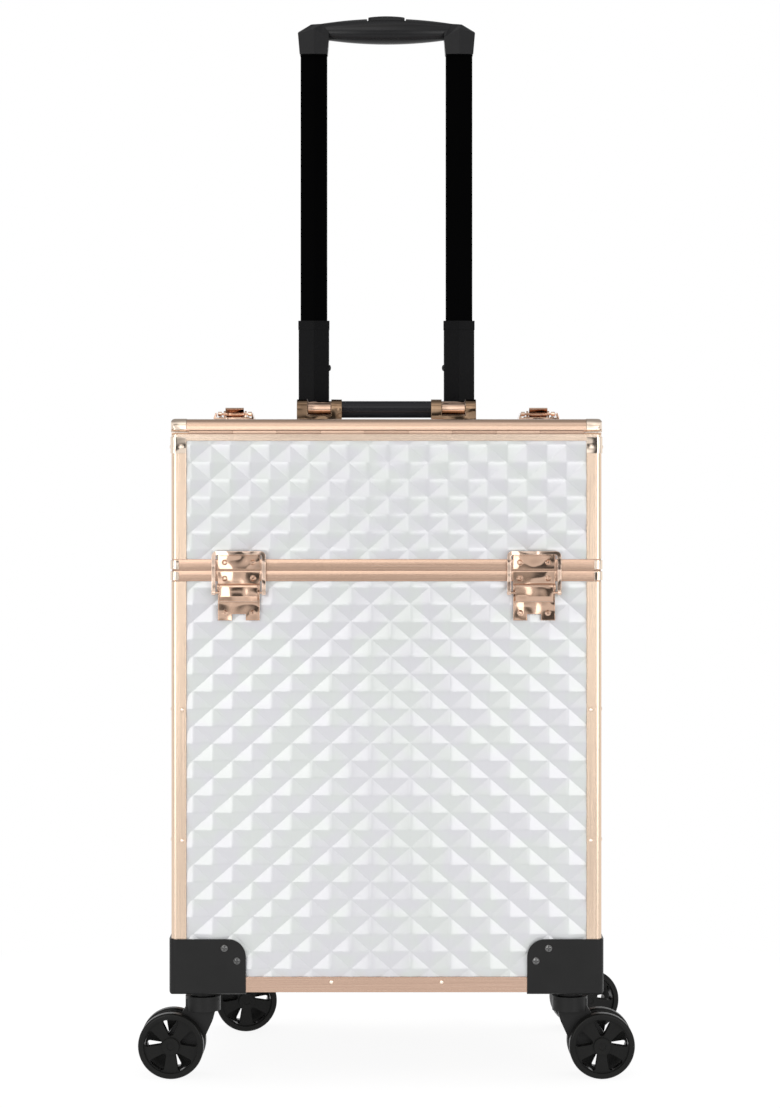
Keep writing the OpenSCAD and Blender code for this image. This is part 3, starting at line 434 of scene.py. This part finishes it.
ALONG_RAILS, ALONG_POSTS = (9, 9, 1900), (1900, 1900, 9)
lid_gold = brushed_gold("rose_gold_lid_rails", ALONG_RAILS,
                        (0.70, 0.49, 0.365), (0.78, 0.56, 0.43))
# The split rails, the hinge leaves and the pins get a darker copy of the lid rails' gold: painted
# shade.
shaded_split_gold = brushed_gold("rose_gold_split_rails_painted_shade", ALONG_RAILS,
                          (0.59, 0.405, 0.30), (0.66, 0.46, 0.35))
# The bottom rails get a darker copy still: painted shade low on the case.
shaded_foot_gold = brushed_gold("rose_gold_foot_rails_painted_shade", ALONG_RAILS,
                         (0.55, 0.38, 0.29), (0.63, 0.44, 0.34))
# The top rim rails of the upper case get a paler copy: painted highlight.
lit_top_rail_gold = brushed_gold("rose_gold_top_rails_painted_highlight", ALONG_RAILS,
                         (0.77, 0.60, 0.475), (0.85, 0.68, 0.545))
# The corner posts get a paler copy: painted highlight, for the side lamps' light spread along the
# brushed grain.
lit_post_gold = brushed_gold("rose_gold_posts_painted_highlight", ALONG_POSTS,
                            (0.73, 0.56, 0.435), (0.81, 0.635, 0.495))
dress(lid_gold, "front_lid_frame", "rear_lid_frame")
dress(shaded_split_gold, "lower_rim_rails", "upper_base_rails", "lid_hinge_leaves", "lid_hinge_pins")
dress(shaded_foot_gold, "lower_bottom_rails")
dress(lit_top_rail_gold, "upper_rim_rails")
dress(lit_post_gold, "lower_posts", "upper_posts")


# Bright hardware: pressed and plated steel, a little crowned and smudged. The six draw latches and the
# ends of the carry handle are polished. Lid corners, clips and rivets, and the latches' wire loops, get
# paler copies of that plating: painted highlight. The mounts of the carry handle get a darker copy:
# painted dark reflection. The bracket screws are black.
def plated_steel(name, dark, pale):
    """Polished plating between two tones. A slow wave across x, 93 mm long, and soft dents of about
    15 mm tilt the normals by a few degrees, as on thin pressed plate."""
    material, add, join = start_material(name)
    spot = add("TexCoord")
    smudge = add("TexNoise", Scale=60.0, Detail=1.0)
    swell = add("TexWave", Scale=3.371, Phase_Offset=3.93)
    dents = add("TexNoise", Scale=75.0, Detail=0.0)
    pressed = add("Math", 'MULTIPLY_ADD', {1: 0.55})
    rough = add("MapRange", To_Min=0.04, To_Max=0.10)
    tone = two_tones(add, dark, pale)
    eased = add("Bevel", Radius=0.0007)
    crowned = add("Bump", Strength=1.0, Distance=0.0021)
    steel = add("BsdfPrincipled", Metallic=1.0)
    join(spot, "Object", smudge, "Vector")
    join(spot, "Object", swell, "Vector")
    join(smudge, "Fac", rough, "Value")
    join(smudge, "Fac", tone, "Fac")
    join(spot, "Object", dents, "Vector")
    join(dents, "Fac", pressed, 0)
    join(swell, "Fac", pressed, 2)
    join(pressed, "Value", crowned, "Height")
    join(eased, "Normal", crowned, "Normal")
    join(rough, "Result", steel, "Roughness")
    join(tone, "Color", steel, "Base Color")
    join(crowned, "Normal", steel, "Normal")
    join(steel, "BSDF", add("OutputMaterial"), "Surface")
    return material


polished = plated_steel("polished_rose_gold", (0.57, 0.385, 0.28), (0.67, 0.47, 0.36))
# Darker copy of the plating for the carry handle's mounts: painted dark reflection.
mount_shade_plating = plated_steel("rose_gold_mounts_painted_dark_reflection", (0.20, 0.13, 0.08), (0.30, 0.20, 0.13))
# Paler copy of the plating for lid corners, clips and rivets: painted highlight.
lit_pale_plating = plated_steel("pale_gold_painted_highlight", (0.80, 0.66, 0.54), (0.88, 0.75, 0.63))
blackened = plated_steel("blackened_screw_steel", (0.10, 0.10, 0.10), (0.17, 0.17, 0.17))
# Paler copy of the plating for the latches' loops: painted highlight along the round wire.
lit_loop_plating = plated_steel("rose_gold_loops_painted_highlight", (0.78, 0.58, 0.46), (0.87, 0.67, 0.55))
dress(polished, "latch_bases", "latch_keepers", "top_latch_bases", "top_latch_keepers", "carry_ends")
dress(lit_pale_plating, "front_lid_corners", "rear_lid_corners", "upper_clips", "lower_rivets")
dress(blackened, "bracket_screws")
for place in ("front", "rear", "top"):
    for side in ("left", "right"):
        dress(polished, f"{place}_{side}_lever")
        dress(lit_loop_plating, f"{place}_{side}_loop")
dress(mount_shade_plating, "carry_mounts")


# Black mouldings: satin nylon corner brackets, caster forks and wheels, and tube mounts, with a fine
# spark-eroded grain.
def black_moulding(name, dark, pale, gloss, rough_low, rough_high, grain_scale):
    """Satin black plastic: its tone and gloss drift with a coarse noise, its grain is a fine one."""
    material, add, join = start_material(name)
    spot = add("TexCoord")
    drift = add("TexNoise", Scale=45.0, Detail=3.0)
    tone = two_tones(add, dark, pale)
    rough = add("MapRange", To_Min=rough_low, To_Max=rough_high)
    grain = add("TexNoise", Scale=grain_scale, Detail=2.0)
    eroded = add("Bump", Strength=0.15, Distance=0.0002)
    plastic = add("BsdfPrincipled", Specular_IOR_Level=gloss)
    join(spot, "Object", drift, "Vector")
    join(spot, "Object", grain, "Vector")
    join(drift, "Fac", tone, "Fac")
    join(drift, "Fac", rough, "Value")
    join(grain, "Fac", eroded, "Height")
    join(tone, "Color", plastic, "Base Color")
    join(rough, "Result", plastic, "Roughness")
    join(eroded, "Normal", plastic, "Normal")
    join(plastic, "BSDF", add("OutputMaterial"), "Surface")
    return material


satin_black = black_moulding("satin_black_nylon", (0.010, 0.010, 0.010), (0.016, 0.016, 0.016),
                             0.20, 0.34, 0.46, 1500.0)
wheel_black = black_moulding("wheel_black_nylon", (0.006, 0.006, 0.0055), (0.010, 0.010, 0.0095),
                             0.15, 0.28, 0.40, 1200.0)
dress(satin_black, "caster_brackets", "handle_rear_mounts", "caster_stems")
for place in ("front_left", "front_right", "rear_left", "rear_right"):
    dress(satin_black, "fork_" + place)
    dress(wheel_black, "wheels_" + place)


# Pull handle tubes: black anodised aluminium drawn with a ridge, and the soft dark bar of the carry
# handle between its two plated ends.
tube_black = black_moulding("black_anodised_tube", (0.0004, 0.0004, 0.0005),
                            (0.0008, 0.0008, 0.0009), 0.010, 0.28, 0.38, 2600.0)
# The middle and outer tubes get a paler, glossier copy of the inner tubes' black: painted highlight.
lit_sleeve_black = black_moulding("black_anodised_sleeve_painted_highlight", (0.0020, 0.0020, 0.0025),
                              (0.0034, 0.0034, 0.0040), 0.065, 0.24, 0.34, 2600.0)
bar_black = black_moulding("soft_black_bar", (0.005, 0.005, 0.008), (0.008, 0.008, 0.013),
                           0.30, 0.20, 0.30, 1800.0)
dress(tube_black, "handle_inner_tubes", sharp=12)
dress(lit_sleeve_black, "handle_outer_tubes", "handle_mid_tubes", sharp=12)
dress(bar_black, "carry_grip")


# Grip of the pull handle: a round nylon bar, thicker in the middle, between two sockets that carry the
# ridge of the tubes up to a sloping shoulder. A notch in the bar holds the push button.
GRIP_R, GRIP_SAG = 0.0113, 0.0055
NOTCH_X, NOTCH_Y, NOTCH_DEEP, NOTCH_DRAFT = 0.0161, 0.0065, 0.009, 0.0009
SOCKET_W, SOCKET_D, RIDGE_OUT, SOCKET_DEEP = 0.0276, 0.026, 0.002, 0.032
HOLE_ROOM = 0.0002
OUTER_ROWS, INNER_ROWS, UNDER_STEPS, OVER_STEPS = 15, 13, 56, 10
tube_box = np.array(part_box("handle_inner_tubes"))
TUBE_W, TUBE_D = 0.0231, tube_box[1][1] - tube_box[0][1]
TUBE_X = tube_box[1][0] - TUBE_W / 2
grip_box = np.array(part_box("handle_grip"))
grip_top, grip_y = grip_box[1][2], (grip_box[0][1] + grip_box[1][1]) / 2


def ring_faces(rows, around):
    """Quads between the rows of a grid that is closed around; rows follow each other outward."""
    index = np.arange(rows * around).reshape(rows, around)
    here, there = index[:-1], index[1:]
    return np.stack([here, np.roll(here, -1, 1), np.roll(there, -1, 1), there], -1).reshape(-1, 4)


def grip_bar():
    """The bar: circles round x whose radius falls with the square of x, GRIP_R - GRIP_SAG (x / X)^2.
    Between the ends of the notch, the top of each circle is swapped for the notch's walls and floor."""
    rim_x = NOTCH_X + NOTCH_DRAFT
    outer = np.linspace(rim_x, TUBE_X, OUTER_ROWS)
    inner = np.linspace(-NOTCH_X, NOTCH_X, INNER_ROWS)
    x = np.concatenate([-outer[::-1], inner, outer])
    notched = np.zeros((len(x), 1), bool)
    notched[len(outer):len(outer) + len(inner)] = True
    radius = GRIP_R - GRIP_SAG * (x / TUBE_X) ** 2
    widest = 0.9
    edge = np.arcsin(np.minimum(NOTCH_Y / radius, widest))
    under = edge[:, None] + (2 * np.pi - 2 * edge)[:, None] * np.linspace(0, 1, UNDER_STEPS)
    over = edge[:, None] * np.linspace(-1, 1, OVER_STEPS)[1:-1]
    y_over, z_over = radius[:, None] * np.sin(over), radius[:, None] * np.cos(over)
    step, corners = np.array([0.5, 1.0, 1.2, 1.4, 1.6, 1.8, 2.0, 2.5]), [0, 1, 2, 3]
    rim = (radius * np.cos(edge))[:, None]
    floor_z = GRIP_R - NOTCH_DEEP
    y_cut = np.interp(step, corners, [-NOTCH_Y, -NOTCH_Y, NOTCH_Y, NOTCH_Y])
    z_cut = floor_z + (rim - floor_z) * np.interp(step, corners, [1, 0, 0, 1])
    y_over, z_over = np.where(notched, y_cut, y_over), np.where(notched, z_cut, z_over)
    y = np.concatenate([radius[:, None] * np.sin(under), y_over], 1)
    z = np.concatenate([radius[:, None] * np.cos(under), z_over], 1)
    rows, around = y.shape
    along = np.broadcast_to(x[:, None], y.shape)
    points = np.stack([along, y + grip_y, z + grip_top - GRIP_R], -1).reshape(-1, 3)
    faces = [list(f) for f in ring_faces(rows, around)[:, ::-1]]
    left_end, right_end = list(range(around)), list(range(rows * around))[:-around - 1:-1]
    return points, faces + [left_end, right_end]


def grip_socket():
    """The right socket: loops of ten points, five across the front and five back across the rear, from
    the roof of the tube hole down to its mouth, out to the outer wall, up to the eaves and in to the
    top. The front stands out by a ridge: depth / 2 - RIDGE_OUT |u| / (width / 2)."""
    hole_w, hole_d = TUBE_W + HOLE_ROOM, TUBE_D + HOLE_ROOM
    share = np.array([-1.0, -0.55, 0.0, 0.2, 1.0])
    hole_u = share * hole_w / 2
    hole_out = hole_d / 2 - RIDGE_OUT * np.abs(share)
    low_u = np.array([-0.01205, -0.0066, 0.0, 0.0021, 0.01225])
    eave_u = np.array([-0.0132, -0.0072, 0.0, 0.0024, 0.0138])
    roof_z = np.full(5, tube_box[1][2] - grip_top + HOLE_ROOM / 2)
    mouth_z = np.full(5, -SOCKET_DEEP)
    across = np.stack([hole_u, hole_u, low_u, eave_u, eave_u * 0.98])
    out = np.stack([hole_out, hole_out,
                    SOCKET_D / 2 - RIDGE_OUT * np.abs(low_u) / (SOCKET_W / 2),
                    SOCKET_D / 2 - RIDGE_OUT * np.abs(eave_u) / (SOCKET_W / 2),
                    np.array([0.0030, 0.0042, 0.0058, 0.0062, 0.0062])])
    up = np.stack([roof_z, mouth_z, mouth_z,
                   np.array([-0.0178, -0.0140, -0.0103, -0.0108, -0.0138]),
                   np.array([-0.0042, -0.0049, -0.0055, -0.0058, -0.0124])])
    loops = np.stack([np.concatenate([across, across[:, ::-1]], 1) + TUBE_X,
                      np.concatenate([-out, out[:, ::-1]], 1) + grip_y,
                      np.concatenate([up, up[:, ::-1]], 1) + grip_top], -1)
    faces = [list(f) for f in ring_faces(*loops.shape[:2])]
    last = 10 * (len(loops) - 1)
    roof = [[9 - c, 8 - c, c + 1, c] for c in range(4)]
    top = [[last + c, last + c + 1, last + 8 - c, last + 9 - c] for c in range(4)]
    return loops.reshape(-1, 3), faces + roof + top


bar_points, bar_faces = grip_bar()
socket_points, socket_faces = grip_socket()
grip_parts = [(bar_points, bar_faces), (socket_points, socket_faces),
              (socket_points * [-1, 1, 1], [f[::-1] for f in socket_faces])]
grip_starts = np.cumsum([0] + [len(points) for points, _ in grip_parts])
grip_faces = [[int(i + start) for i in face]
              for (_, faces), start in zip(grip_parts, grip_starts) for face in faces]
grip = add_mesh("handle_grip_moulded", np.concatenate([points for points, _ in grip_parts]),
                grip_faces, np.arange(len(grip_faces)) < len(bar_faces))
eased = grip.modifiers.new("eased_edges", 'BEVEL')
eased.width, eased.segments, eased.angle_limit = 0.0004, 2, np.radians(30)
parted = grip.modifiers.new("edges", 'EDGE_SPLIT')
parted.split_angle = np.radians(40)
grip_black = black_moulding("grip_black_nylon", (0.007, 0.007, 0.008), (0.011, 0.011, 0.012),
                            0.28, 0.20, 0.30, 1500.0)
grip.data.materials.append(grip_black)
dress(grip_black, "handle_button")
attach(grip, "handle_upper")
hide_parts("handle_grip")
